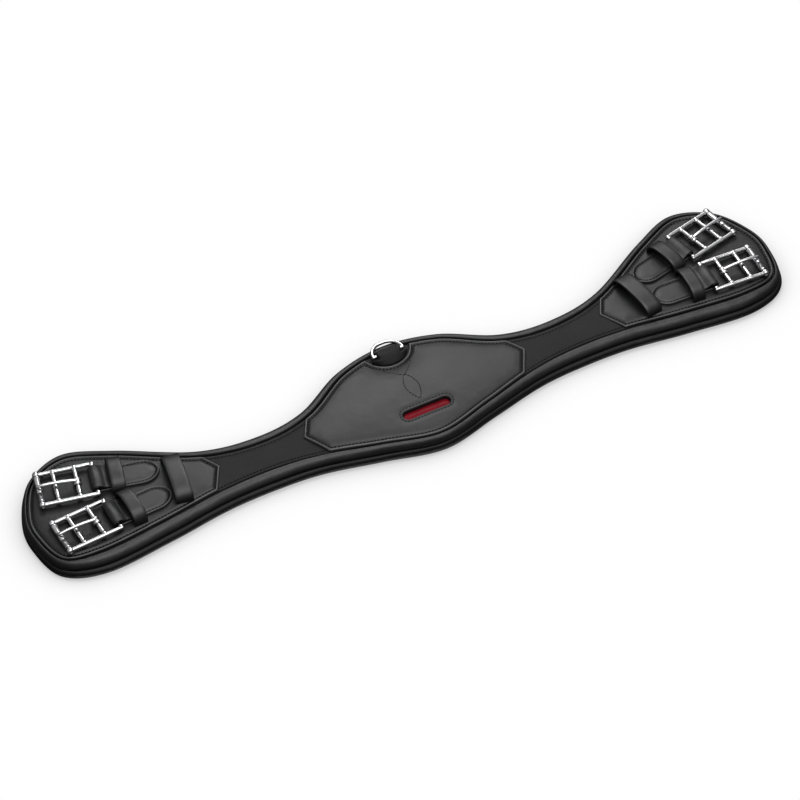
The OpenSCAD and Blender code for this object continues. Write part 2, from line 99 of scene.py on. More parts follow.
class GirthSettings(bpy.types.PropertyGroup):
    """Sizes and colours of the girth, shared by every piece."""

    half_length: length("Half length", 0.330, "Half of the girth's overall length")
    middle_half: length("Middle half width", 0.058, "Half of the width across the middle")
    waist_x: length("Waist", 0.132, "Where the waist is narrowest, and where the girth bends")
    waist_front: length("Waist front", 0.020, "Front edge of the waist")
    waist_rear: length("Waist rear", 0.0335, "Rear edge of the waist")
    end_x: length("End", 0.280, "Where an end is widest")
    end_front: length("End front", 0.075, "Front edge of an end")
    end_rear: length("End rear", 0.047, "Rear edge of an end")
    roll_middle: length("Roll at the middle", 0.0085, "Width of the roll across the middle")
    roll_waist: length("Roll at the waist", 0.0133, "Width of the roll along the waist")
    roll_front: length("Roll in front", 0.0095, "Width of the roll along an end's front edge")
    roll_tip: length("Roll at the tip", 0.0058, "Width of the roll round an end's tip")
    roll_rear: length("Roll behind", 0.0135, "Width of the roll along an end's rear edge")
    crown_z: length("Roll height", 0.015, "Height of the roll's crown")
    bed_depth: length("Bed depth", 0.0032, "Depth of the bed between the rolls")
    base_t: length("Base layer", 0.0012, "Thickness of the base layer")
    panel_t: length("Panel", 0.0024, "Thickness of the panels")
    crown_rise: length("Crown", 0.0027, "Rise of the middle panel's crown over its edges")
    middle_tip_x: length("Middle panel's tip", 0.099, "Tip of the middle panel")
    end_tip_x: length("End panel's tip", 0.169, "Tip of an end panel")
    point_angle: angle("Point angle", 61, "Half angle of the panels' points")
    scallop_half: length("Scallop radius", 0.020, "Radius of the scallop for the D-ring")
    scallop_y: length("Scallop", 0.031, "Deepest point of the scallop")
    window_l: length("Window length", 0.041, "Length of the badge window")
    window_h: length("Window height", 0.0086, "Height of the badge window")
    window_y: length("Window place", -0.024, "Centre of the badge window")
    chape_w: length("Chape width", 0.024, "Width of the chapes")
    chape_t: length("Chape thickness", 0.0022, "Thickness of the chape leather")
    chape_l: length("Chape length", 0.051, "Length of a chape from its bar to its tip")
    fold_l: length("Fold length", 0.022, "Length of the folded part on top of a chape")
    keeper_w: length("Keeper width", 0.0115, "Width of a keeper along the strap")
    keeper_u: length("Keeper place", 0.0165, "Distance of a keeper from the buckle bar")
    keeper_in: length("Keeper inside", 0.0315, "Inside width of a keeper")
    keeper_h: length("Keeper height", 0.0100, "Inside height of a keeper")
    keeper_t: length("Keeper thickness", 0.002, "Thickness of the keeper leather")
    shared_w: length("Shared keeper width", 0.0145, "Width of the shared keeper")
    shared_in: length("Shared keeper inside", 0.044, "Inside width of the shared keeper")
    shared_h: length("Shared keeper height", 0.0084, "Inside height of the shared keeper")
    shared_x: length("Shared keeper place", 0.205, "Centre of the shared keeper from the middle")
    shared_y: length("Shared keeper offset", 0.0025, "Centre of the shared keeper across the girth")
    shared_turn: angle("Shared keeper turn", 9, "Turn of the shared keeper from straight across")
    front_bar_x: length("Front bar", 0.262, "Front buckle bar from the middle")
    front_bar_y: length("Front bar across", 0.031, "Front buckle bar across the girth")
    front_fan: angle("Front fan", 13.5, "How far the front buckle fans out")
    rear_bar_x: length("Rear bar", 0.265, "Rear buckle bar from the middle")
    rear_bar_y: length("Rear bar across", -0.0085, "Rear buckle bar across the girth")
    rear_fan: angle("Rear fan", -2.5, "How far the rear buckle fans out")
    buckle_w: length("Buckle width", 0.0315, "Distance between the side bars' centres")
    buckle_l: length("Buckle length", 0.044, "Distance from the chape bar to the roller")
    tongue_u: length("Tongue bar", 0.0139, "Distance from the chape bar to the tongue bar")
    mid_u: length("Middle bar", 0.031, "Distance from the chape bar to the middle bar")
    side_r: length("Side bar", 0.00175, "Radius of the side bars")
    bar_r: length("Cross bar", 0.0016, "Radius of the cross bars")
    axle_r: length("Axle", 0.00125, "Radius of the roller's axle")
    roller_r: length("Roller", 0.0027, "Outer radius of the roller")
    knob_r: length("Knob", 0.0029, "Radius of the knobs")
    tongue_r: length("Tongue", 0.0015, "Radius of the tongue's rod")
    ring_y: length("Ring bar", 0.0435, "Distance of the D-ring's bar from the centre line")
    ring_half: length("Ring half width", 0.013, "Half width of the D-ring")
    ring_depth: length("Ring depth", 0.0115, "Depth of the D-ring")
    ring_r: length("Ring wire", 0.0015, "Radius of the D-ring's wire")
    loop_t: length("Ring loop", 0.002, "Thickness of the ring's leather loop")
    ring_swing: angle("Ring swing", 150, "How far the D-ring swings back over its tab")
    stitch_pitch: length("Stitch pitch", 0.0029, "Distance from one stitch to the next")
    stitch_inset: length("Stitch inset", 0.0031, "Distance of the stitch line from a leather edge")
    outline_steps: IntProperty(name="Outline steps", description="Samples between two points of the outline",
                               default=10, min=4, max=24)
    panel_colour: colour("Panel colour", (0.0075, 0.0075, 0.0081), "Leather of the panels")
    # Lighter than the leathers: a painted highlight on the rounded cut edges.
    rim_colour: colour("Edge painted highlight", (0.020, 0.020, 0.0216), "Painted highlight on the cut and polished edges of the leather")
    roll_colour: colour("Roll colour", (0.0045, 0.0045, 0.00486), "Leather of the padded rolls")
    waist_colour: colour("Waist colour", (0.0040, 0.0040, 0.00432),
                         "Soft leather of the waists and the ring's tab")
    lining_colour: colour("Lining colour", (0.0028, 0.0028, 0.003024), "Leather of the lining")
    strap_colour: colour("Strap colour", (0.0055, 0.0055, 0.00594), "Leather of the chapes and keepers")
    thread_colour: colour("Thread colour", (0.0025, 0.0025, 0.0028), "Waxed thread of the seams")
    steel_colour: colour("Steel colour", (0.56, 0.56, 0.57), "Polished steel of the buckles and the D-ring")
    badge_dark: colour("Badge dark", (0.10, 0.001, 0.005), "Darker tone of the badge's enamel")
    badge_light: colour("Badge light", (0.19, 0.002, 0.010), "Lighter tone of the badge's enamel")


def settings():
    """The girth's settings on the open scene."""
    return bpy.context.scene.girth


# Heights that follow from the settings


def base_z(s):
    return s.crown_z - s.bed_depth + s.base_t


def panel_z(s):
    return base_z(s) + s.panel_t


def bar_z(s):
    return panel_z(s) + s.bar_r + WRAP_GAP + s.chape_t


def tilt(s):
    return math.asin((bar_z(s) - panel_z(s) - REST_GAP - max(s.roller_r, s.knob_r)) / s.buckle_l)


def ring_z(s):
    return max(base_z(s) + s.ring_r + WRAP_GAP + s.loop_t, s.crown_z + REST_GAP + s.ring_r)


# Curves and outlines


def through(p, q, r, t, f):
    """A point of the smooth curve from q to r."""
    return 0.5 * (2 * q + (r - p) * f + (2 * p - 5 * q + 4 * r - t) * f * f
                  + (3 * q - p - 3 * r + t) * f ** 3)


def spline(p, steps):
    """Points of the smooth curve through p, whose first and last points only steer it."""
    return [through(*p[i - 1:i + 3], k / steps) for i in range(1, len(p) - 2) for k in range(steps)] + [p[-2]]


def faired(points, steps):
    """A smooth open curve through the points."""
    p = [np.array(v, float) for v in points]
    return spline([2 * p[0] - p[1], *p, 2 * p[-1] - p[-2]], steps)


def half_edge(s):
    """The right half of the girth's outline, from front to rear: rows of x, y and roll width."""
    h, w, e = s.half_length, s.waist_x, s.end_x
    pts = [
        (0, s.middle_half, s.roll_middle + 0.001),
        (0.14 * h, s.middle_half - 0.009, s.roll_middle + 0.0015),
        (w - 0.042, s.waist_front + 0.0055, s.roll_waist - 0.001),
        (w, s.waist_front, s.roll_waist),
        (w + 0.046, s.waist_front + 0.008, s.roll_waist - 0.0025),
        (e - 0.046, s.end_front - 0.016, s.roll_front),
        (e - 0.006, s.end_front, s.roll_front),
        (h - 0.022, s.end_front - 0.015, s.roll_tip + 0.0005),
        (h - 0.004, s.end_front - 0.045, s.roll_tip),
        (h, 0.002, s.roll_tip),
        (h - 0.010, 0.014 - s.end_rear, s.roll_tip + 0.002),
        (e + 0.006, -s.end_rear, s.roll_rear),
        (e - 0.050, 0.005 - s.end_rear, s.roll_rear),
        (w + 0.045, -s.waist_rear - 0.001, s.roll_waist),
        (w, -s.waist_rear, s.roll_waist),
        (w - 0.037, -s.waist_rear - 0.003, s.roll_waist - 0.002),
        (0.15 * h, 0.011 - s.middle_half, s.roll_middle + 0.0005),
        (0, -s.middle_half, s.roll_middle - 0.0005),
    ]
    p, flip = np.array(pts, float), (-1, 1, 1)
    return np.array(spline([p[1] * flip, *p, p[-2] * flip], s.outline_steps))


def inward(edge, share, more=0.0):
    """The half outline moved inward by a share of the roll's width and a further distance."""
    d = np.empty((len(edge), 2))
    d[1:-1] = edge[2:, :2] - edge[:-2, :2]
    d[0], d[-1] = (1, 0), (-1, 0)
    d /= np.linalg.norm(d, axis=1)[:, None]
    m = (share * edge[:, 2] + more)[:, None]
    return edge[:, :2] - np.stack([-d[:, 1], d[:, 0]], 1) * m


def whole(half):
    """The closed outline from its right half."""
    return np.vstack([half, (half[1:-1] * (-1, 1))[::-1]])


def clipped(poly, point, normal):
    """The part of a closed outline on the side of a line that its normal points to."""
    out, n = [], len(poly)
    side = (poly - point) @ np.array(normal)
    for i in range(n):
        a, b, sa, sb = poly[i], poly[(i + 1) % n], side[i], side[(i + 1) % n]
        if sa >= 0:
            out.append(a)
        if (sa >= 0) != (sb >= 0):
            out.append(a + (b - a) * sa / (sa - sb))
    return np.array(out)


def scalloped(poly, centre, r, samples=36):
    """The outline with a round bite out of its front edge."""
    c = np.array(centre)
    inside = np.linalg.norm(poly - c, axis=1) < r
    poly = np.roll(poly, -1 - np.flatnonzero(inside & ~np.roll(inside, -1))[0], 0)
    kept = poly[np.linalg.norm(poly - c, axis=1) >= r]

    def crossing(a, b):
        """The angle, from straight down, at which the edge from a to b enters the bite."""
        for _ in range(40):
            m = (a + b) / 2
            a, b = (m, b) if np.linalg.norm(m - c) >= r else (a, m)
        x, y = (a + b) / 2 - c
        return math.atan2(x, -y)

    arc = np.linspace(crossing(kept[-1], poly[len(kept)]), crossing(kept[0], poly[-1]), samples)
    return np.vstack([kept, c + r * np.stack([np.sin(arc), -np.cos(arc)], 1)])


def resampled(path, step, closed=True):
    """Even points along a path, with its sharp corners kept."""
    pts = [np.array(p, float) for p in path]
    if closed:
        pts.append(pts[0])
    out = []
    for a, b in zip(pts, pts[1:]):
        gap = np.linalg.norm(b - a)
        if gap < 1e-7:
            continue
        k = max(1, round(gap / step))
        out += [a + (b - a) * i / k for i in range(k)]
    if not closed:
        out.append(pts[-1])
    kept = [out[0]]
    for p in out[1:]:
        if np.linalg.norm(p - kept[-1]) > step * 0.35:
            kept.append(p)
    if closed and np.linalg.norm(kept[0] - kept[-1]) < step * 0.35:
        kept.pop()
    return np.array(kept)


def offset(poly, d):
    """A closed clockwise outline moved inward by d, with mitred corners."""
    n = len(poly)
    u, v = poly - np.roll(poly, 1, 0), np.roll(poly, -1, 0) - poly
    u /= np.linalg.norm(u, axis=1)[:, None]
    v /= np.linalg.norm(v, axis=1)[:, None]
    nu, nv = np.stack([u[:, 1], -u[:, 0]], 1), np.stack([v[:, 1], -v[:, 0]], 1)
    m = nu + nv
    k = np.maximum((m * nu).sum(1), 0.45)
    out = poly + m / k[:, None] * d
    folded = distance(out, poly) < d * 0.985
    for i in np.flatnonzero(folded):
        for j in range(1, n // 2):
            found = [q for q in ((i - j) % n, (i + j) % n) if not folded[q]]
            if found:
                out[i] = out[min(found, key=lambda q: np.linalg.norm(poly[q] - poly[i]))]
                break
    return out


def clockwise(poly):
    """The closed outline, run clockwise."""
    area = (poly[:, 0] * np.roll(poly[:, 1], -1) - np.roll(poly[:, 0], -1) * poly[:, 1]).sum()
    return poly if area < 0 else poly[::-1]


def distance(points, poly):
    """Distance of each point from a closed outline."""
    p = np.asarray(points, float)[:, None, :]
    a, b = poly[None], np.roll(poly, -1, 0)[None]
    ab = b - a
    t = np.clip(((p - a) * ab).sum(2) / (ab ** 2).sum(2), 0, 1)
    return np.linalg.norm(p - a - ab * t[..., None], axis=2).min(1)


def within(points, poly):
    """Whether each point lies inside a closed outline."""
    p = np.asarray(points, float)
    a, b = poly, np.roll(poly, -1, 0)
    up = (a[None, :, 1] > p[:, None, 1]) != (b[None, :, 1] > p[:, None, 1])
    dy = np.where(np.abs(b[:, 1] - a[:, 1]) < 1e-12, 1e-12, b[:, 1] - a[:, 1])
    x = a[:, 0] + (p[:, None, 1] - a[:, 1]) / dy * (b[:, 0] - a[:, 0])
    return ((up & (p[:, None, 0] < x)).sum(1) % 2) == 1


def stadium(centre, long, wide, samples=14, step=0.0022):
    """A slot outline with round ends, clockwise."""
    r, h = wide / 2, (long - wide) / 2
    pts = [(centre[0] + way * (h + r * math.sin(t)), centre[1] + way * r * math.cos(t))
           for way in (1, -1) for t in np.linspace(0, math.pi, samples)]
    return resampled(pts, step)


# Mesh building


def finish_piece(bm, name, body, replaces, materials, smooth=60, place=None):
    """Turn a bmesh into a piece of the girth, which moves with its body's empty, or, for a side's piece, is
    left free with its place applied.
    """
    if place is not None:
        bmesh.ops.transform(bm, matrix=place, verts=bm.verts)
    bmesh.ops.remove_doubles(bm, verts=bm.verts, dist=1e-6)
    bmesh.ops.recalc_face_normals(bm, faces=bm.faces)
    for f in bm.faces:
        f.smooth = True
    for e in bm.edges:
        e.smooth = len(e.link_faces) == 2 and e.calc_face_angle(0) < math.radians(smooth)
    mesh = bpy.data.meshes.new(name)
    bm.to_mesh(mesh)
    bm.free()
    for key in materials.split():
        mesh.materials.append(material(key))
    obj = bpy.data.objects.new(name, mesh)
    bpy.context.scene.collection.objects.link(obj)
    if body in SIDES:
        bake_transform(obj)
    else:
        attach(obj, body)
    replaces = replaces.split()
    if replaces:
        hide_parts(*replaces)
    return obj


def row_of(bm, ring):
    """Vertices for a row of points, with one vertex for points that coincide with the one before."""
    row, before = [], None
    for p in ring:
        p = Vector(p)
        if before is None or (p - before.co).length > 1e-6:
            before = bm.verts.new(p)
        row.append(before)
    if len(row) > 2 and row[-1] is not row[0] and (row[-1].co - row[0].co).length < 1e-6:
        last = row[-1]
        row = [row[0] if v is last else v for v in row]
        bm.verts.remove(last)
    return row


def once(row):
    """A row's vertices without repeats."""
    return list(dict.fromkeys(row))


def loft(bm, rings, around=True, along=False):
    """Join rows of points with faces. around closes each row, along joins the last row to the first."""
    rows = [row_of(bm, ring) for ring in rings]
    n = len(rows[0])
    for a, b in zip(rows, rows[1:] + rows[:1] * along):
        for i in range(n if around else n - 1):
            j = (i + 1) % n
            corners = once((a[i], a[j], b[j], b[i]))
            if len(corners) > 2:
                bm.faces.new(corners)
    return rows


def capped(bm, rows):
    """Close a loft's first and last rows with a face each."""
    for row in (rows[0], rows[-1]):
        if len(once(row)) > 2:
            bm.faces.new(once(row))


def plan(verts):
    """The places of vertices, seen from above."""
    return np.array([(v.co.x, v.co.y) for v in verts])


def filled(bm, rim, spacing, height, holes=(), rings=()):
    """Fill an outline of vertices with triangles, whose inner points' height is a function of place.
    holes are inner loops of vertices to leave open, and rings are inner loops of vertices to keep."""
    rim = once(rim)
    loops = [rim, *holes, *rings]
    verts, edges = [], []
    for loop in loops:
        k, n = len(verts), len(loop)
        edges += [(k + i, k + (i + 1) % n) for i in range(n)]
        verts += loop
    outline = plan(rim)
    lo, hi = outline.min(0), outline.max(0)
    gx, gy = np.arange(lo[0], hi[0], spacing), np.arange(lo[1], hi[1], spacing * 0.866)
    grid = np.array([(x + (spacing / 2 if j % 2 else 0), y) for j, y in enumerate(gy) for x in gx])
    grid = grid[within(grid, outline)]
    grid = grid[distance(grid, outline) > spacing * 0.55]
    for loop in loops[1:]:
        grid = grid[distance(grid, plan(loop)) > spacing * 0.4]
    for loop in holes:
        grid = grid[~within(grid, plan(loop))]
    flat = [Vector(p) for p in np.vstack([plan(verts), grid])]
    verts += [bm.verts.new((x, y, h)) for (x, y), h in zip(grid, height(grid))]
    places, _, faces, sources, _, _ = delaunay_2d_cdt(flat, edges, [], 0, 1e-7)
    centres = np.array([np.mean([places[i] for i in f], 0) for f in faces])
    keep = within(centres, outline)
    for loop in holes:
        keep &= ~within(centres, plan(loop))
    for ok, f in zip(keep, faces):
        tri = [verts[sources[i][0]] for i in f] if ok else ()
        if len(set(tri)) == 3 and not bm.faces.get(tri):
            bm.faces.new(tri)


def rod(bm, path, r, sides=14):
    """A round rod along a path, with domed ends. r is a radius, or one for each point."""
    pts = [Vector(p) for p in path]
    radii = [r] * len(pts) if isinstance(r, (int, float)) else list(r)
    rows, ref = [], None
    for i, p in enumerate(pts):
        t = (pts[min(i + 1, len(pts) - 1)] - pts[max(i - 1, 0)]).normalized()
        ref = ref - t * ref.dot(t) if ref else t.orthogonal()
        if ref.length < 1e-6:
            ref = t.orthogonal()
        ref.normalize()
        rows.append((p, t, ref.copy(), t.cross(ref), radii[i]))

    def ring(row, out=0.0, wide=1.0):
        p, t, a, b, q = row
        return [p + t * q * out + (a * math.cos(w) + b * math.sin(w)) * q * wide
                for w in np.linspace(0, math.tau, sides, endpoint=False)]

    dome = [(out, math.sqrt(1 - out ** 2)) for out in (0.85, 0.5, 0.2)]
    rings = [ring(rows[0], -out, wide) for out, wide in dome] + [ring(row) for row in rows]
    rings += [ring(rows[-1], out, wide) for out, wide in dome[::-1]]
    capped(bm, loft(bm, rings))


def band(bm, path, normals, half, thickness, across, rim=0.0006):
    """A leather strap along a path, with a rounded flat section."""
    h, w, e = thickness / 2, half, rim
    section = [(-w, 0), (-w + e * 0.25, h * 0.62), (-w + e, h), (-w * 0.55, h), (0, h), (w * 0.55, h),
               (w - e, h), (w - e * 0.25, h * 0.62), (w, 0), (w - e * 0.25, -h * 0.62), (w - e, -h), (0, -h),
               (-w + e, -h), (-w + e * 0.25, -h * 0.62)]
    rings = [[Vector(p) + Vector(across) * a + Vector(n) * b for a, b in section]
             for p, n in zip(path, normals)]
    capped(bm, loft(bm, rings))


def stitches(bm, path, s, height=None, lift=0.0, closed=True, size=1.0):
    """Thread stitches along a path: each one a small rounded grain that dips into the leather at both ends.
    With a height function, the stitches follow it, lifted by a distance."""
    pts = [Vector(p) for p in path] if height is None else [
        Vector((*p[:2], h + lift)) for p, h in zip(path, height(np.asarray(path)[:, :2]))]
    if closed:
        pts.append(pts[0])
    reach = [0.0]
    for a, b in zip(pts, pts[1:]):
        reach.append(reach[-1] + (b - a).length)
    count = max(1, round(reach[-1] / s.stitch_pitch))
    step = reach[-1] / count

    def at(d):
        i = max(k for k in range(len(reach) - 1) if reach[k] <= max(d, 0))
        return pts[i].lerp(pts[i + 1], (d - reach[i]) / max(reach[i + 1] - reach[i], 1e-9))

    w, h, half = 0.00064 * size, 0.00040 * size, step * 0.37
    for k in range(count):
        d = (k + 0.5) * step
        a, b = at(d - half), at(d + half)
        t = (b - a).normalized()
        side = t.cross(Vector((0, 0, 1))).normalized()
        place = Matrix((side * w, side.cross(t) * h, t * half)).transposed().to_4x4()
        place.translation = (a + b) / 2 + side.cross(t) * h * 0.2
        bmesh.ops.create_uvsphere(bm, u_segments=6, v_segments=5, radius=1.0, matrix=place)


def placed(s, side, x, y, turn):
    """A place on the panels: x outward from the middle, y across, turned about the vertical."""
    return (Matrix.Diagonal((SIDES[side], 1, 1, 1)) @ Matrix.Translation((x, y, panel_z(s)))
            @ Matrix.Rotation(turn, 4, "Z"))


def strap_frame(s, side, row):
    """Place of a strap: x outward from the buckle bar, y across and z up from the panel."""
    return placed(s, side, *(getattr(s, f"{row}_{part}") for part in ("bar_x", "bar_y", "fan")))


def buckle_place(s, side, row):
    """Place of a buckle's own plane, which leans down to its roller."""
    return (strap_frame(s, side, row) @ Matrix.Translation((0, 0, bar_z(s) - panel_z(s)))
            @ Matrix.Rotation(tilt(s), 4, "Y"))


def steel_piece(bm, s, side, row, name, body, replaces, smooth=40):
    """Turn a bmesh into a steel piece of a buckle."""
    end, place = f"_{side}_{row}", buckle_place(s, side, row)
    return finish_piece(bm, name + end, body + end, replaces + end, "steel", smooth, place)


# Materials


def node_group(name, inputs, outputs):
    """A new shader group with its sockets: (name, kind, default)."""
    g = bpy.data.node_groups.new(name, "ShaderNodeTree")
    for direction, sockets in (("INPUT", inputs), ("OUTPUT", outputs)):
        for label, kind, default in sockets:
            k = g.interface.new_socket(label, in_out=direction, socket_type=kind)
            if default is not None:
                k.default_value = default
    return g, g.nodes.new("NodeGroupInput"), g.nodes.new("NodeGroupOutput")


def wired(tree, n, **inputs):
    """A node, with its inputs set to values or linked to sockets or to the first output of other nodes."""
    for k, v in inputs.items():
        socket = n.inputs[int(k[1:])] if k[1:].isdigit() else n.inputs[k.replace("_", " ")]
        if isinstance(v, bpy.types.Node):
            v = v.outputs[0]
        if isinstance(v, bpy.types.NodeSocket):
            tree.links.new(v, socket)
        else:
            socket.default_value = v
    return n


def linked(tree, kind, options=None, **inputs):
    """A new node with its options, and with its inputs wired."""
    n = tree.nodes.new("ShaderNode" + kind)
    for k, v in (options or {}).items():
        setattr(n, k, v)
    return wired(tree, n, **inputs)


def noise(tree, co, scale, detail, roughness=0.5):
    """A noise texture over the coordinates."""
    return linked(tree, "TexNoise", Vector=co, Scale=scale, Detail=detail, Roughness=roughness)


def ranged(tree, value, start, end, low, high, kind="LINEAR"):
    """A value mapped from between start and end to between low and high."""
    return linked(tree, "MapRange", {"interpolation_type": kind}, Value=value, From_Min=start, From_Max=end,
                  To_Min=low, To_Max=high)


def combined(tree, operation, *values):
    """A math node over the values."""
    return linked(tree, "Math", {"operation": operation}, **{f"i{k}": v for k, v in enumerate(values)})


def toned(tree, mask, low, high):
    """The colour between two others that a mask picks."""
    return linked(tree, "Mix", {"data_type": "RGBA"}, Factor=mask, i6=(*low, 1), i7=(*high, 1)).outputs[2]


def leather_group():
    """Pebbled leather: a colour shade, a roughness and a height that share one grain, and a slow wave."""
    colour, number = "NodeSocketColor", "NodeSocketFloat"
    g, given, out = node_group(
        GRAIN,
        [("Colour", colour, (0.02, 0.02, 0.022, 1)), ("Grain", number, 900.0), ("Roughness", number, 0.45)],
        [("Colour", colour, None), *((label, number, None) for label in ("Roughness", "Height", "Wave"))])
    co = linked(g, "TexCoord").outputs["Object"]
    warp = noise(g, co, 420.0, 2.0).outputs["Color"]
    moved = linked(g, "VectorMath", {"operation": "MULTIPLY_ADD"}, i0=warp,
                   i1=(0.0009, 0.0009, 0.0009), i2=co)
    cells = linked(g, "TexVoronoi", {"feature": "DISTANCE_TO_EDGE"}, Vector=moved,
                   Scale=given.outputs["Grain"])
    pebble = ranged(g, cells, 0.0, 0.22, 0.0, 1.0, "SMOOTHSTEP")
    patches = noise(g, co, 26.0, 4.0, 0.55)
    rough = combined(g, "MULTIPLY_ADD", patches, 0.16, given.outputs["Roughness"])
    shade = combined(g, "MULTIPLY", ranged(g, patches, 0.3, 0.7, 0.82, 1.18),
                     ranged(g, pebble, 0.0, 1.0, 0.7, 1.0))
    wired(g, out,
          Colour=linked(g, "VectorMath", {"operation": "SCALE"}, i0=given.outputs["Colour"], Scale=shade),
          Roughness=combined(g, "MULTIPLY_ADD", pebble, -0.07, rough),
          Height=combined(g, "MULTIPLY_ADD", noise(g, co, 2600.0, 3.0, 0.6), 0.25, pebble),
          Wave=noise(g, co, 52.0, 2.0, 0.45))
    return g


def started(name):
    """A new material, with its node tree and its shader."""
    m = bpy.data.materials.new(name)
    m.use_nodes = True
    return m, m.node_tree, m.node_tree.nodes["Principled BSDF"]


def leather(name, colour, grain, roughness, bump, wave, specular=0.5):
    """A leather material from the shared grain, with a slow unevenness under it."""
    m, t, shader = started(name)
    group = bpy.data.node_groups.get(GRAIN) or leather_group()
    n = linked(t, "Group", {"node_tree": group}, Colour=(*colour, 1), Grain=grain, Roughness=roughness)
    slow = linked(t, "Bump", Height=n.outputs["Wave"], Strength=1.0, Distance=wave)
    fine = linked(t, "Bump", Height=n.outputs["Height"], Strength=0.6, Distance=bump, Normal=slow)
    wired(t, shader, Base_Color=n, Roughness=n.outputs["Roughness"], Normal=fine, Specular_IOR_Level=specular)
    return m


def steel(name, colour, roughness=0.10):
    """Polished stainless steel with faint polishing marks and smudges."""
    m, t, shader = started(name)
    co = linked(t, "TexCoord").outputs["Object"]
    smudge = noise(t, co, 180.0, 4.0, 0.6)
    wired(t, shader, Metallic=1.0, Base_Color=toned(t, smudge, [c * 0.93 for c in colour], colour),
          Roughness=ranged(t, smudge, 0.35, 0.7, roughness * 0.7, roughness * 1.7),
          Normal=linked(t, "Bump", Height=noise(t, co, 2400.0, 2.0), Strength=0.25, Distance=0.00003))
    return m


def thread(name, colour):
    """Twisted waxed thread."""
    m, t, shader = started(name)
    co = linked(t, "TexCoord").outputs["Object"]
    wave = linked(t, "TexWave", {"bands_direction": "DIAGONAL"}, Vector=co, Scale=1400.0,
                  Distortion=0.6).outputs["Fac"]
    wired(t, shader, Base_Color=toned(t, wave, [c * 0.55 for c in colour], colour), Roughness=0.75,
          Specular_IOR_Level=0.15, Normal=linked(t, "Bump", Height=wave, Strength=0.5, Distance=0.00008))
    return m


def enamel(name, low, high):
    """Dark red enamel with fine metallic flecks under a clear coat."""
    m, t, shader = started(name)
    co = linked(t, "TexCoord").outputs["Object"]
    fleck = linked(t, "TexVoronoi", Vector=co, Scale=2200.0)
    wired(t, shader, Base_Color=toned(t, noise(t, co, 90.0, 3.0), low, high),
          Roughness=ranged(t, fleck, 0.0, 1.0, 0.50, 0.64), Specular_IOR_Level=0.08, Coat_Weight=0.04,
          Coat_Roughness=0.08, Normal=linked(t, "Bump", Height=fleck, Strength=0.15, Distance=0.00004))
    return m


# Each material: its maker, name and colour settings. Leathers add grain, roughness, bump, wave and specular.
MATERIALS = {
    "panel": (leather, "Panel leather", "panel_colour", 1100.0, 0.37, 0.00004, 0.0006, 0.36),
    # The edge leather's lighter colour is a painted highlight on the rim.
    "rim": (leather, "Panel edge", "rim_colour", 1100.0, 0.30, 0.00004, 0.0002, 0.6),
    "roll": (leather, "Roll leather", "roll_colour", 800.0, 0.40, 0.00008, 0.0016),
    "strip": (leather, "Waist leather", "waist_colour", 900.0, 0.62, 0.00006, 0.0005, 0.28),
    "lining": (leather, "Lining leather", "lining_colour", 700.0, 0.48, 0.00008, 0.0016, 0.26),
    "strap": (leather, "Strap leather", "strap_colour", 1000.0, 0.39, 0.00005, 0.0006),
    "thread": (thread, "Waxed thread", "thread_colour"),
    "steel": (steel, "Polished steel", "steel_colour"),
    "enamel": (enamel, "Red enamel", "badge_dark badge_light"),
}


def material(key):
    """One of the girth's materials, made on first use."""
    make, name, colours, *values = MATERIALS[key]
    colours = [getattr(settings(), c) for c in colours.split()]
    return bpy.data.materials.get(name) or make(name, *colours, *values)


# Body


# Profiles from the outline inward: share of the roll's width, and height as a share of the crown's.
ROLL = [(1.03, 0.787), (0.93, 0.787), (0.895, 0.81), (0.875, 0.87), (0.845, 0.94), (0.79, 0.985), (0.70, 1.0),
        (0.58, 0.985), (0.46, 0.94), (0.36, 0.87), (0.28, 0.78), (0.235, 0.69), (0.235, 0.61), (0.28, 0.55),
        (0.36, 0.52)]
LINING = [(0.44, 0.50), (0.36, 0.515), (0.27, 0.52), (0.17, 0.50), (0.08, 0.45), (0.02, 0.37), (0.0, 0.29),
          (0.005, 0.21), (0.03, 0.13), (0.08, 0.06), (0.16, 0.015), (0.28, 0.0)]


def body_rings(s, side, profile):
    """Rows of points round half of the girth. A profile has (share of the roll, further inset, height)."""
    edge = half_edge(s)
    return [[(SIDES[side] * x, y, z) for x, y in inward(edge, share, more)] for share, more, z in profile]


def build_roll(s, side):
    """The padded upper roll round one half, as a closed ring segment."""
    low = s.crown_z * LINING[1][1] + 0.0001  # just clear of the lining
    profile = [(a, 0.0, s.crown_z * b) for a, b in faired(ROLL, 3)]
    profile += [(a, 0.0, low) for a in (0.45, 0.75, 1.03)]
    bm = bmesh.new()
    capped(bm, loft(bm, list(zip(*body_rings(s, side, profile)))))
    obj = finish_piece(bm, f"roll_{side}", side, f"cushion_{side} cushion_middle", "roll")
    return obj


def build_lining(s, side):
    """The lining pad of one half: a soft rounded edge, a sewn channel and a flat underside."""
    profile = [(a, 0.0, s.crown_z * b) for a, b in faired(LINING, 3)]
    profile += [(0.27, 0.003, 0.0), (0.0, 0.0088, 0.0), (0.0, 0.0096, 0.0004), (0.0, 0.0104, 0.0)]
    bm = bmesh.new()
    made = loft(bm, body_rings(s, side, profile), around=False)
    for row in (made[0], made[-1]):
        filled(bm, row, 0.009, lambda p, z=row[0].co.z: np.full(len(p), z))
    bmesh.ops.holes_fill(bm, edges=[e for e in bm.edges if len(e.link_faces) == 1], sides=0)
    obj = finish_piece(bm, f"lining_pad_{side}", side, f"lining_{side} lining_middle",
                       "lining", smooth=50)
    return obj


def seam_y(edge, x, front):
    """Where the seam line beside the roll lies at distances along the girth."""
    ring = inward(edge, 1.0)
    half = len(ring) // 2
    part = ring[:half] if front else ring[half:][::-1]
    order = np.argsort(part[:, 0])
    return np.interp(np.abs(x), part[order, 0], part[order, 1])


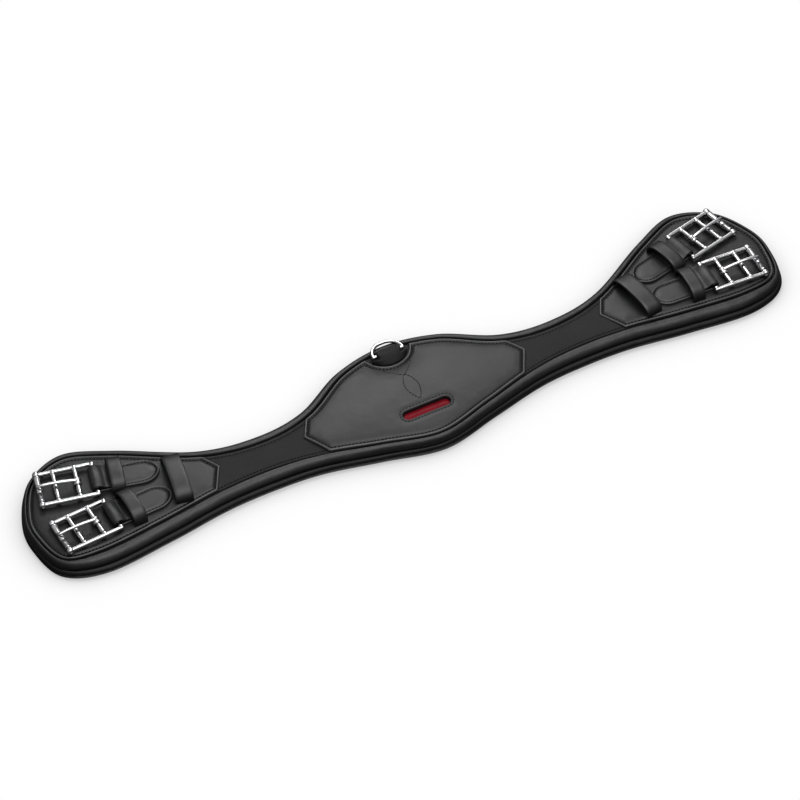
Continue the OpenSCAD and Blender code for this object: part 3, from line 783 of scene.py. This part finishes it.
def build_strip(s, side):
    """The soft leather of the waist, tucked into the seams beside the rolls."""
    tuck = 0.0002  # how far it runs under each roll
    edge, sign, z0 = half_edge(s), SIDES[side], base_z(s)
    cross = [(0.0, -0.0011), (0.012, -0.0003), (0.03, 0.0001), (0.055, 0.0002), (0.075, 0.0000),
             (0.095, 0.0003), (0.2, 0.0007), (0.35, 0.0010), (0.5, 0.0011)]
    cross += [(1 - a, b) for a, b in cross[-2::-1]]
    rings = []
    for x in np.linspace(s.middle_tip_x - 0.030, s.end_tip_x + 0.034, 46):
        lo, hi = seam_y(edge, x, False) - tuck, seam_y(edge, x, True) + tuck
        top = [(sign * x, lo + (hi - lo) * a, z0 + b) for a, b in cross]
        rings.append(top + [(sign * x, hi, z0 - s.base_t), (sign * x, lo, z0 - s.base_t)])
    bm = bmesh.new()
    capped(bm, loft(bm, rings))
    return finish_piece(bm, f"waist_strip_{side}", side, f"base_layer_{side}", "strip", 50)


def plate(bm, poly, low, thickness):
    """A flat plate with an outline, extruded up from its lower face. Returns its upper face."""
    base = bm.faces.new([bm.verts.new((x, y, low)) for x, y in poly])
    made = bmesh.ops.extrude_face_region(bm, geom=[base], use_keep_orig=True)["geom"]
    verts = [g for g in made if isinstance(g, bmesh.types.BMVert)]
    bmesh.ops.translate(bm, vec=(0, 0, thickness), verts=verts)
    bmesh.ops.recalc_face_normals(bm, faces=bm.faces)
    return next(g for g in made if isinstance(g, bmesh.types.BMFace))


def build_bed(s):
    """The leather seen in the scallop behind the D-ring."""
    poly = whole(inward(half_edge(s), 1.0, 0.0002))
    for sign in (-1, 1):
        poly = clipped(poly, (sign * 0.070, 0), (-sign, 0))
    bm = bmesh.new()
    plate(bm, clockwise(resampled(poly, 0.004)), base_z(s) - s.base_t, s.base_t)
    return finish_piece(bm, "bed_middle", "middle", "base_layer_middle", "strip", 35)


# Panels


def middle_outline(s):
    """The middle panel's outline: pointed at both ends, with the scallop in its front edge."""
    poly = whole(inward(half_edge(s), 1.0, SEAM_GAP))
    y = (s.waist_front - s.waist_rear) / 2 + 0.002
    a = s.point_angle
    for sign in (-1, 1):
        for up in (-1, 1):
            poly = clipped(poly, (sign * s.middle_tip_x, y), (-sign * math.sin(a), -up * math.cos(a)))
    poly = scalloped(poly, (0, s.scallop_y + s.scallop_half), s.scallop_half)
    return clockwise(resampled(poly, PANEL_STEP))


def end_outline(s, side):
    """An end panel's outline, pointed towards the middle."""
    ring = inward(half_edge(s), 1.0, SEAM_GAP)
    poly = ring[ring[:, 0] > s.waist_x]
    for up in (-1, 1):
        poly = clipped(poly, (s.end_tip_x, 0.0005), (math.sin(s.point_angle), -up * math.cos(s.point_angle)))
    poly = poly * (SIDES[side], 1)
    return clockwise(resampled(poly, PANEL_STEP))


# Distance from a leather piece's edge, and height over its face: a rounded rim, then the sewn channel.
PANEL_EDGE = [(0.0, -0.0024), (0.0, -0.0010), (0.00025, -0.00045), (0.0007, -0.00005), (0.0012, 0.0001),
              (0.0017, -0.00002), (0.0021, -0.00035), (0.0026, -0.00085), (0.0031, -0.00100),
              (0.0036, -0.0008), (0.0043, -0.0003), (0.0054, 0.0)]
CHAPE_EDGE = [(0.0, -0.0022), (0.0, -0.0009), (0.0002, -0.00035), (0.00055, 0.0), (0.0010, 0.0001),
              (0.0014, -0.00008), (0.0018, -0.00055), (0.0024, -0.00085), (0.0029, -0.0006), (0.0036, 0.0)]


def eased(v):
    """A smooth step from 0 to 1."""
    v = np.clip(v, 0, 1)
    return v * v * (3 - 2 * v)


def ripple(p):
    """Slight unevenness of leather over its padding."""
    x, y = p[:, 0], p[:, 1]
    long, short = np.sin(74 * x + 31 * y + 1.3) + np.sin(113 * y - 47 * x), np.sin(190 * x + 150 * y)
    return 0.00010 * (long + 0.6 * short)


def middle_height(s):
    """Height of the crowned middle panel as a function of place."""
    edge, centre = half_edge(s), np.array((0.0, s.scallop_y + s.scallop_half))

    def height(p):
        p = np.asarray(p, float)
        hi, lo = seam_y(edge, p[:, 0], True), seam_y(edge, p[:, 0], False)
        v = np.clip((2 * p[:, 1] - hi - lo) / (hi - lo), -1, 1)
        u = np.clip(np.abs(p[:, 0]) / (s.middle_tip_x + 0.010), 0, 1)
        f = eased((np.linalg.norm(p - centre, axis=1) - s.scallop_half) / 0.018)
        return panel_z(s) - REST_GAP + (s.crown_rise * (1 - u ** 3) + ripple(p)) * (1 - v * v) * f

    return height


def end_height(s, poly):
    """Height of an end panel as a function of place."""
    def height(p):
        p = np.asarray(p, float)
        return panel_z(s) - REST_GAP + (0.0004 + ripple(p)) * eased(distance(p, poly) / 0.016)

    return height


def leather_sheet(bm, poly, low, height, edge, spacing, holes=(), rings=()):
    """A cut piece of leather: a rounded rim, a sewn channel, and a face at a height that depends on place."""
    rows = []
    for d, drop in edge:
        ring = offset(poly, d) if d else poly
        rows.append([(x, y, h + drop) for (x, y), h in zip(ring, height(ring))])
    rows[0] = [(x, y, low) for x, y in poly]
    made = loft(bm, rows)
    rim = {v for row in made[:RIM_ROWS] for v in row}
    # The rim's faces take the second material, whose lighter colour is a painted highlight.
    for f in bm.faces:
        f.material_index = int(all(v in rim for v in f.verts))
    bm.faces.new(once(made[0]))
    filled(bm, made[-1], spacing, height, holes, rings)


def build_panel(s, name, poly, height, body, replaces, window=False):
    """A leather panel, with the badge's window if it has one."""
    bm = bmesh.new()
    rings = []
    if window:
        for grow, drop in WINDOW_EDGE:
            loop = stadium((0, s.window_y), s.window_l + 2 * grow, s.window_h + 2 * grow)
            rings.append([bm.verts.new((x, y, h - drop)) for (x, y), h in zip(loop, height(loop))])
        low = [bm.verts.new((v.co.x, v.co.y, base_z(s))) for v in rings[0]]
        for i, v in enumerate(low):
            bm.faces.new((rings[0][i - 1], rings[0][i], v, low[i - 1]))
    leather_sheet(bm, poly, base_z(s), height, PANEL_EDGE, spacing=0.0052, holes=rings[:1],
                  rings=rings[1:])
    return finish_piece(bm, name, body, replaces, "panel rim", smooth=40)


# Straps and keepers


def directions(path):
    """The direction of a path at each of its points."""
    d = np.gradient(np.array(path), axis=0)
    return d / np.linalg.norm(d, axis=1)[:, None]


def chape_path(s):
    """Centre line of a chape's fold: back along the top, round the bar and down to the panel."""
    t = s.chape_t
    r = s.bar_r + WRAP_GAP + t / 2
    cz = r + t / 2
    pts = faired([(-s.fold_l, 1.5 * t), (-s.fold_l * 0.72, 1.5 * t), (-s.fold_l * 0.52, 1.53 * t),
                  (-r * 2.8, 1.85 * t), (-r * 2.1, cz + r * 0.16), (-r * 1.45, cz + r * 0.53),
                  (-r * 0.85, cz + r * 0.85)], 4)
    pts += [(r * math.sin(a), cz + r * math.cos(a)) for a in np.linspace(math.radians(-22), math.pi, 22)]
    return [np.array(p, float) for p in pts]


def chape_outline(s):
    """A chape's outline on the panel, from its bar round its rounded point."""
    reach = s.chape_w * 0.62
    f = 1 - np.cos(np.linspace(0, HALF_PI, 16))
    side = [(-0.0004, s.chape_w / 2)]
    side += [(-s.chape_l + reach * k, s.chape_w / 2 * (1 - (1 - k) ** 2.1) ** 0.60) for k in f[::-1]]
    return clockwise(resampled(side + [(u, -v) for u, v in side[-2::-1]], 0.0016))


def build_chape(s, side, row):
    """A buckle's leather chape, folded round its bar and sewn back on itself."""
    path = chape_path(s)
    bm = bmesh.new()
    leather_sheet(bm, chape_outline(s), 0.0, lambda p: np.full(len(p), s.chape_t), CHAPE_EDGE, spacing=0.004)
    band(bm, [(u, 0, z) for u, z in path], [(q, 0, -p) for p, q in directions(path)], s.chape_w / 2 - 0.0004,
         s.chape_t - PRESSED, across=(0, 1, 0), rim=0.0008)
    return finish_piece(bm, f"chape_leather_{side}_{row}", f"{side}_end", f"chape_{side}_{row}",
                        "strap rim", smooth=42, place=strap_frame(s, side, row))


def build_keeper(s, name, place, inside, height, width, body, replaces):
    """A leather keeper that arches over the straps."""
    t, power = s.keeper_t, 2 / 2.7
    w, h = inside / 2 + t / 2, height + t / 2
    path = [(math.copysign(w * abs(math.cos(a)) ** power, math.cos(a)), h * abs(math.sin(a)) ** power)
            for a in np.linspace(0, math.pi, 61)]
    path = resampled(path, step=0.0014, closed=False)
    bm = bmesh.new()
    band(bm, [(0, a, b) for a, b in path], [(0, q, -p) for p, q in directions(path)], width / 2, t - PRESSED,
         across=(1, 0, 0))
    return finish_piece(bm, name, body, replaces, "strap", smooth=42, place=place)


# Hardware


def turned(bm, u, outline, sides=24, tube=False):
    """A turned part round a cross bar's line: an outline of (place across, radius), as a solid or a tube."""
    if not tube:
        outline = [(outline[0][0], 0.0), *outline, (outline[-1][0], 0.0)]
    verts = [bm.verts.new((u + q, y, 0)) for y, q in outline]
    edges = [bm.edges.new(pair) for pair in zip(verts, verts[1:] + verts[:1] * tube)]
    bmesh.ops.spin(bm, geom=verts + edges, cent=(u, 0, 0), axis=(0, 1, 0), steps=sides, angle=math.tau,
                   use_merge=True)


def build_frame(s, side, row):
    """A buckle frame: two side bars, three cross bars and the roller's axle with its drilled knobs."""
    bm = bmesh.new()
    w, heel = s.buckle_w / 2, 0.0006  # half of the width, and how far the side bars run past the chape bar
    for sign in (-1, 1):
        us = np.linspace(-heel, s.buckle_l, 26)
        flares = [sum(0.10 * math.exp(-((u - bar) / 0.0018) ** 2) for bar in (s.tongue_u, s.mid_u))
                  for u in us]
        radii = [s.side_r * (0.84 + 0.28 * min(1, (u + heel) / 0.007) + f) for u, f in zip(us, flares)]
        rod(bm, [(u, sign * w, 0) for u in us], radii, sides=16)
        turned(bm, s.buckle_l, [(sign * (w + y), s.knob_r * q) for y, q in KNOB])
    for u, r, swell, span in ((0, s.bar_r, 0, 0.0014), (s.tongue_u, s.bar_r, 0.18, 0.0026),
                              (s.mid_u, s.bar_r, 0.18, 0.0026), (s.buckle_l, s.axle_r, 0, 0.0014)):
        bar = []
        for y in np.linspace(-w, w, 61):
            past_eye = max(0.0, min(1.0, (abs(y) - 0.0034) / 0.0008))
            root = max(0.0, 1 - max(0.0, w - s.side_r - abs(y)) / span)
            bar.append((y, r * (1 + swell * past_eye + 0.4 * root ** 2)))
        turned(bm, u, bar, sides=16)
    sleeve = ((-1, 1.1), (-0.94, 1.36), (0.94, 1.36), (1, 1.1))
    turned(bm, s.mid_u, [(y * 0.0054, s.bar_r * q) for y, q in sleeve], sides=20)
    return steel_piece(bm, s, side, row, "frame", "buckle", "buckle_frame", smooth=50)


def build_roller(s, side, row):
    """The roller: a thin tube with rolled lips and two shallow grooves, open along its axle."""
    bm = bmesh.new()
    half, r, hole = s.buckle_w / 2 - s.knob_r - PIN_GAP, s.roller_r, s.axle_r + PIN_GAP
    rise = [(0.0, 0.86), (0.0003, 1.0), (0.0012, 1.0), (0.0014, 0.96), (half * 0.62, 0.96),
            (half * 0.65, 0.87), (half * 0.71, 0.87), (half * 0.74, 0.96)]
    outline = [(-half, hole)] + [(y - half, r * q) for y, q in rise]
    outline += [(half - y, r * q) for y, q in rise[::-1]]
    turned(bm, s.buckle_l, outline + [(half, hole)], sides=28, tube=True)
    return steel_piece(bm, s, side, row, "roller_tube", "roller", "buckle_roller")


def build_tongue(s, side, row):
    """The tongue: a rod from its coiled eye on the tongue bar, over the middle bar to the roller."""
    bm = bmesh.new()
    u, run, rise = s.tongue_u, s.buckle_l - s.tongue_u, s.roller_r + s.tongue_r + REST_GAP
    path = faired([(u + 0.0008, 0, 0.0026), (u + run * 0.2, 0, 0.0036), (u + run * 0.55, 0, 0.0048),
                   (u + run * 0.85, 0, 0.0049), (u + run, 0, rise), (u + run * 1.035, 0, rise - 0.0003)], 4)
    rod(bm, path, [s.tongue_r * (1.0 - 0.15 * f ** 3) for f in np.linspace(0, 1, len(path))])
    hole = s.bar_r + PIN_GAP
    eye = hole + 0.0017  # the coil's outer radius
    outline = [(0.0030, hole), (0.0031, eye * 0.82), (0.0026, eye * 0.97), (0.0020, eye),
               (0.0013, eye * 0.97), (0.0007, eye * 0.80)]
    turned(bm, u, [(-y, q) for y, q in outline] + outline[::-1], tube=True)
    return steel_piece(bm, s, side, row, "tongue_rod", "tongue", "buckle_tongue")


def build_ring(s):
    """The D-ring of round wire."""
    bm = bmesh.new()
    z, d, h = ring_z(s), s.ring_depth, s.ring_half
    rod(bm, [(x, s.ring_y, z) for x in np.linspace(-h, h, 11)], s.ring_r, sides=18)
    arc = [(h - d + d * math.cos(a), d * math.sin(a)) for a in np.linspace(0, HALF_PI, 18)]
    arc += [(-x, y) for x, y in arc[::-1]]
    rod(bm, [(x, s.ring_y + y, z) for x, y in arc], s.ring_r, sides=18)
    return finish_piece(bm, "d_ring_wire", "d_ring", "d_ring", "steel", smooth=50)


def build_loop(s):
    """The leather tab that fills the scallop and is sewn round the D-ring's bar, open along the bar."""
    y0, z0, hole = s.ring_y, ring_z(s), s.ring_r + WRAP_GAP
    r, low, lean = hole + s.loop_t, base_z(s) + PRESSED, math.pi - s.ring_swing

    def inside_ring(reach):
        """Half of the clear width inside the ring, at a distance from its bar."""
        bend = s.ring_depth - s.ring_r
        return s.ring_half - s.ring_depth + math.sqrt(max(0.0, bend ** 2 - reach ** 2)) - REST_GAP

    def under_ring(x, y, z):
        """The point, lowered where the ring's wire would meet it when the ring lies back."""
        top = z0 + (y0 - y) * math.tan(lean) - s.ring_r / math.cos(lean) - REST_GAP
        free = float(eased((inside_ring((y0 - y) / math.cos(lean)) - abs(x)) / 0.0012))
        return x, y, z * free + min(z, top) * (1 - free)

    bm = bmesh.new()
    half, rings = inside_ring(r), []
    for x, q in ((-1, 0.35), (-0.985, 0.65), (-0.94, 0.88), (-0.86, 1), (0.86, 1), (0.94, 0.88),
                 (0.985, 0.65), (1, 0.35), (1, 0), (0, 0), (-1, 0)):
        k = hole + (r - hole) * q
        rings.append([(x * half, y0 + k * math.sin(a), z0 + k * math.cos(a))
                      for a in np.linspace(0, math.tau, 36, endpoint=False)])
    loft(bm, rings, along=True)
    wide = 0.0158  # half of the tab's width
    top, mid, wall = z0 + r, (hole + r) / 2, y0 - r + 0.0012
    rings = []
    for f in np.sin(np.linspace(-HALF_PI, HALF_PI, 41)):
        x = wide * f
        front = s.scallop_y + s.scallop_half + 0.0008 - math.sqrt((s.scallop_half - 0.0004) ** 2 - x * x)
        front = min(front, wall - 0.0004)
        tall = low + (top - low) * max(0.12, (1 - abs(f) ** 9)) ** 0.5
        over = float(eased((half - 0.0004 - abs(x)) / 0.0016))
        stop = wall + (y0 - 0.0008 - wall) * over
        rise = [under_ring(x, front + (stop - front) * k,
                           low + (tall - low) * (0.24 + 0.76 * math.sin(k * HALF_PI)))
                for k in np.linspace(0, 1, 14)]
        cap = [(y0 + r * 0.30, z0 + r * 0.95), (y0 + r * 0.60, z0 + r * 0.78)]
        cap += [(y0 + mid * math.sin(a), z0 + mid * math.cos(a)) for a in np.linspace(0.75, -1.75, 9)]
        plain = [(wall, rise[-1][2] - (rise[-1][2] - low) * (k + 1) / 11) for k in range(11)]
        back = [(x, *(u * over + v * (1 - over) for u, v in zip(p, q))) for p, q in zip(cap, plain)]
        rings.append([(x, front, low)] + rise + back + [(x, wall - 0.0003, low)])
    capped(bm, loft(bm, rings))
    return finish_piece(bm, "ring_tab", "middle", "ring_loop", "strip")


def build_badge(s):
    """The bare badge: a softly domed red plate with a thin raised rim."""
    bm = bmesh.new()
    play = 0.0012  # how much shorter and narrower than the window the badge is
    outline = clockwise(stadium((0, s.window_y), s.window_l - play, s.window_h - play))
    top = plate(bm, outline, base_z(s), thickness=0.0012)
    for inset, rise in ((0.0002, 0.0002), (0.0004, 0.0), (0.0002, -0.0003), (0.0004, -0.00005),
                        (0.0010, 0.0002), (0.0012, 0.0001)):
        bmesh.ops.inset_region(bm, faces=[top], thickness=inset, depth=rise, use_even_offset=True)
    return finish_piece(bm, "badge_plate", "middle", "badge", "enamel", smooth=40)


# Operators


class GIRTH_OT_body(bpy.types.Operator):
    """Build the lining, the padded rolls, the waist strips and the bed"""

    bl_idname = "girth.body"
    bl_label = "Body"

    def execute(self, context):
        s = settings()
        for side in SIDES:
            build_lining(s, side)
            build_roll(s, side)
            build_strip(s, side)
        build_bed(s)
        return {"FINISHED"}


class GIRTH_OT_panels(bpy.types.Operator):
    """Build the middle panel, the end panels and the badge"""

    bl_idname = "girth.panels"
    bl_label = "Panels"

    def execute(self, context):
        s = settings()
        build_panel(s, "panel_middle", middle_outline(s), middle_height(s), "middle", "middle_panel",
                    window=True)
        for side in SIDES:
            poly = end_outline(s, side)
            build_panel(s, f"panel_{side}", poly, end_height(s, poly), f"{side}_end", f"end_panel_{side}")
        build_badge(s)
        return {"FINISHED"}


class GIRTH_OT_straps(bpy.types.Operator):
    """Build the chapes, the keepers and the D-ring's tab"""

    bl_idname = "girth.straps"
    bl_label = "Straps and keepers"

    def execute(self, context):
        s = settings()
        build_loop(s)
        for side in SIDES:
            place = placed(s, side, s.shared_x, s.shared_y, s.shared_turn)
            build_keeper(s, f"shared_loop_{side}", place, s.shared_in, s.shared_h, s.shared_w, f"{side}_end",
                         f"shared_keeper_{side}")
            for row in ROWS:
                build_chape(s, side, row)
                place = strap_frame(s, side, row) @ Matrix.Translation((-s.keeper_u, 0, 0))
                build_keeper(s, f"loop_{side}_{row}", place, s.keeper_in, s.keeper_h, s.keeper_w,
                             f"{side}_end", f"keeper_{side}_{row}")
        return {"FINISHED"}


class GIRTH_OT_hardware(bpy.types.Operator):
    """Build the buckles and the D-ring"""

    bl_idname = "girth.hardware"
    bl_label = "Hardware"

    def execute(self, context):
        s = settings()
        build_ring(s)
        for side in SIDES:
            for row in ROWS:
                build_frame(s, side, row)
                build_roller(s, side, row)
                build_tongue(s, side, row)
        return {"FINISHED"}


def sew(s, name, body, *lines, place=None):
    """A piece of stitching along lines. Each line is a path and what else stitches takes."""
    bm = bmesh.new()
    for path, options in lines:
        stitches(bm, path, s, **options)
    return finish_piece(bm, name, body, "", "thread", place=place)


class GIRTH_OT_stitching(bpy.types.Operator):
    """Sew the panels, the waist, the chapes, the leaf and the badge"""

    bl_idname = "girth.stitching"
    bl_label = "Stitching"

    def execute(self, context):
        s = settings()
        edge, top = half_edge(s), middle_height(s)
        around = 0.0051  # how much longer and wider than the window its stitches run
        window = stadium((0, s.window_y), s.window_l + around, s.window_h + around)
        lines = [(offset(middle_outline(s), s.stitch_inset), {"height": top, "lift": -SUNK}),
                 (window, {"height": top, "lift": -0.00028, "size": 0.8})]
        for sign in SIDES.values():
            leaf = [(sign * 0.0056 * math.sin(math.pi * f) ** 0.85, 0.016 - 0.029 * f)
                    for f in np.linspace(0, 1, 19)]
            arm = [(sign * (0.0125 - 0.011 * f), s.scallop_y - 0.002 - 0.013 * f ** 0.8)
                   for f in np.linspace(0, 1, 9)]
            lines += [(leaf, {"height": top, "lift": 0.00004, "closed": False, "size": 0.75}),
                      (arm, {"height": top, "lift": -0.00004, "closed": False, "size": 0.6})]
        sew(s, "stitching_middle", "middle", *lines)
        for side, sign in SIDES.items():
            poly = end_outline(s, side)
            sew(s, f"stitching_{side}_end", f"{side}_end",
                (offset(poly, s.stitch_inset), {"height": end_height(s, poly), "lift": -SUNK}))
            xs, z = np.linspace(s.middle_tip_x - 0.012, s.end_tip_x + 0.012, 30), base_z(s) + 0.00018
            sew(s, f"stitching_{side}_waist", side, *(
                ([(sign * x, seam_y(edge, x, front) + gap, z) for x in xs], {"closed": False})
                for front, gap in ((False, 0.0024), (True, -0.0024))))
            for row in ROWS:
                line = [(x, y, s.chape_t - 0.00065) for x, y in offset(chape_outline(s), 0.0024)
                        if x < -s.keeper_u - s.keeper_w / 2 - 0.0008]
                sew(s, f"stitching_{side}_{row}", f"{side}_end", (line, {"closed": False, "size": 0.85}),
                    place=strap_frame(s, side, row))
        return {"FINISHED"}


def floor_material():
    """Sheer to the camera but for a painted shadow round the girth from ambient occlusion, clear from below,
    and matt to the light.
    """
    m, t, _ = started("Floor")
    t.nodes.clear()
    rays = linked(t, "LightPath").outputs
    # Ambient occlusion darkens the sheer floor round the girth: a painted contact shadow in place of a shadow
    # cast by the lamps.
    near = linked(t, "AmbientOcclusion", {"samples": 16}, Distance=0.035).outputs["AO"]
    sheer = linked(t, "BsdfTransparent", Color=ranged(t, near, 0.45, 0.95, 0.55, 1.0))
    matt = linked(t, "BsdfDiffuse", Color=(0.06, 0.06, 0.06, 1))
    both = linked(t, "MixShader", i0=rays["Is Camera Ray"], i1=matt, i2=sheer)
    passed = combined(t, "MAXIMUM", linked(t, "NewGeometry").outputs["Backfacing"], rays["Is Shadow Ray"])
    linked(t, "OutputMaterial",
           Surface=linked(t, "MixShader", i0=passed, i1=both, i2=linked(t, "BsdfTransparent")))
    return m


def build_floor(scene):
    """The floor that the girth lies on."""
    bm = bmesh.new()
    bmesh.ops.create_grid(bm, x_segments=8, y_segments=8, size=6.0)
    mesh = bpy.data.meshes.new("floor")
    bm.to_mesh(mesh)
    bm.free()
    mesh.materials.append(floor_material())
    floor = bpy.data.objects.new("floor", mesh)
    floor.location = (0, 0, -0.0005)
    scene.collection.objects.link(floor)


def build_world(scene):
    """A white studio, whose light comes from above and is stronger in reflections."""
    world = bpy.data.worlds.new("Studio")
    world.use_nodes = True
    t = world.node_tree
    height = linked(t, "SeparateXYZ", Vector=linked(t, "TexCoord").outputs["Generated"]).outputs["Z"]
    rays = linked(t, "LightPath").outputs
    pale = combined(t, "MULTIPLY_ADD", rays["Is Glossy Ray"], 0.35, 0.30)
    sky = ranged(t, height, -0.1, 0.9, 0.03, pale)
    wired(t, t.nodes["Background"], Color=(1.0, 1.0, 1.0, 1),
          Strength=linked(t, "Mix", i0=rays["Is Camera Ray"], i2=sky, i3=1.0))
    scene.world = world


def build_lamps(scene):
    """Soft lamps above, beyond and below the girth, all aimed at its middle."""
    for name, place, size, power in (("overhead", (0.10, -0.35, 1.6), (1.5, 1.1), 21),
                                     ("far back", (0.50, 1.16, 0.96), (1.3, 0.3), 4.5),
                                     ("back", (0.18, 0.48, 0.56), (0.5, 0.2), 1.6),
                                     ("below", (0.0, -0.3, -1.5), (1.2, 0.8), 22)):
        light = bpy.data.lights.new(name, "AREA")
        light.shape = "RECTANGLE"
        light.size, light.size_y = size
        light.energy = power
        lamp = bpy.data.objects.new(name, light)
        lamp.visible_camera = False
        lamp.location = place
        lamp.rotation_euler = (-Vector(place)).to_track_quat("-Z", "Y").to_euler()
        scene.collection.objects.link(lamp)


def build_camera(scene):
    """The camera, raised beyond the rear edge and to the left, and a little rolled."""
    azimuth, elevation, roll, away = -25.52, 48.00, -2.198, 3.0176
    place = Matrix.Translation((-0.01446, -0.00562, panel_z(settings())))
    for degrees, axis in ((azimuth, "Z"), (90 - elevation, "X"), (roll, "Z")):
        place @= Matrix.Rotation(math.radians(degrees), 4, axis)
    cam = bpy.data.cameras.new("camera")
    cam.lens, cam.sensor_width, cam.clip_end = 171.8, 36.0, 50
    obj = bpy.data.objects.new("camera", cam)
    obj.matrix_world = place @ Matrix.Translation((0, 0, away))
    scene.collection.objects.link(obj)
    scene.camera = obj


class GIRTH_OT_stage(bpy.types.Operator):
    """Set up the floor, the lights, the world and the camera"""

    bl_idname = "girth.stage"
    bl_label = "Stage"

    def execute(self, context):
        context.scene.view_settings.view_transform = "Standard"
        for build in (build_floor, build_world, build_lamps, build_camera):
            build(context.scene)
        return {"FINISHED"}


class GIRTH_PT_panel(bpy.types.Panel):
    """The girth's builders in the sidebar"""

    bl_label = "Girth"
    bl_idname = "GIRTH_PT_panel"
    bl_space_type = "VIEW_3D"
    bl_region_type = "UI"
    bl_category = "Girth"

    def draw(self, context):
        for name in BUILDERS:
            self.layout.operator(f"girth.{name}")


CLASSES = (GirthSettings, GIRTH_OT_body, GIRTH_OT_panels, GIRTH_OT_straps, GIRTH_OT_hardware,
           GIRTH_OT_stitching, GIRTH_OT_stage, GIRTH_PT_panel)


def register():
    for c in CLASSES:
        bpy.utils.register_class(c)
    bpy.types.Scene.girth = PointerProperty(type=GirthSettings)


def unregister():
    del bpy.types.Scene.girth
    for c in reversed(CLASSES):
        bpy.utils.unregister_class(c)


def main():
    """Build the whole girth and its stage."""
    register()
    for name in BUILDERS:
        getattr(bpy.ops.girth, name)()


if __name__ == "__main__":
    main()
